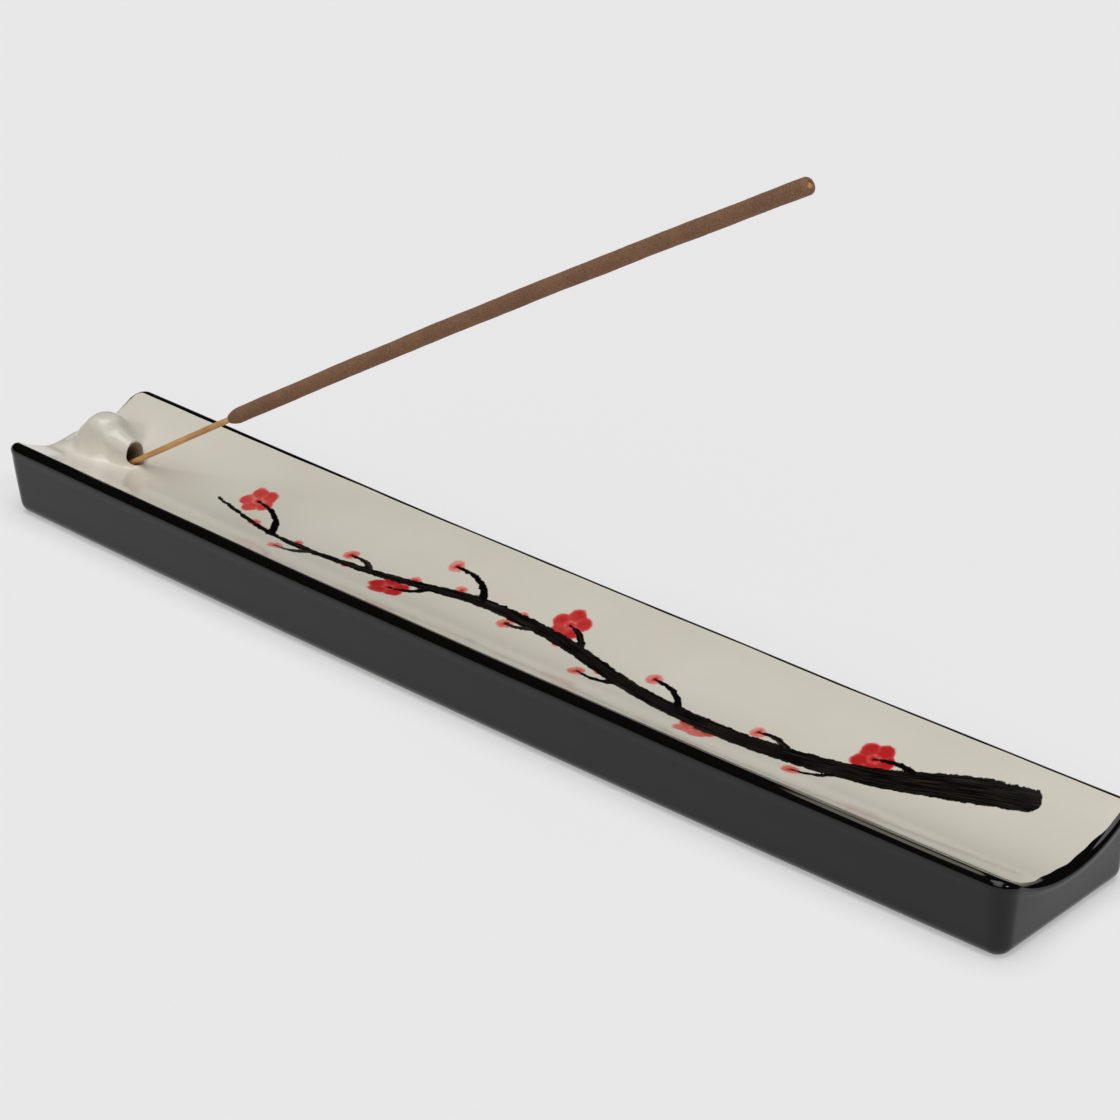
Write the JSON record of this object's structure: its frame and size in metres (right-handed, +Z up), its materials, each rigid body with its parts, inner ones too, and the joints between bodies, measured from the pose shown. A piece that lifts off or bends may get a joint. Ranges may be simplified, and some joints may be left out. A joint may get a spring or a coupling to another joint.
{
  "type": "incense burner",
  "caption": "Long rectangular glazed ceramic incense boat with a round-bottomed ash trough, a low knob with a slanted stick hole, and a loose incense stick leaning over the trough.",
  "frame": {"origin": "on the table under the middle of the tray, at the bottom centre of the whole part's box", "axes": "+X along the trough from the knob towards the open end, +Y across the tray, +Z up"},
  "size_m": [0.2578, 0.039, 0.1206],
  "materials": {
    "clay": "unglazed matte stoneware",
    "black_glaze": "glossy",
    "white_glaze": "glossy",
    "knob_glaze": "glossy",
    "bamboo": "bare split bamboo",
    "paste": "dry pressed wood powder"
  },
  "bodies": {
    "tray": {"clay_body": "clay", "outer_glaze": "black_glaze", "trough_glaze": "white_glaze", "stick_holder": "knob_glaze"},
    "incense_stick": {"bamboo_core": "bamboo", "incense_paste": "paste"}
  },
  "joints": [
    {"name": "stick_pull", "type": "slide", "parent": "tray", "child": "incense_stick", "axis": [0.8526, 0, 0.5225], "range_m": [0, 0.03]}
  ]
}
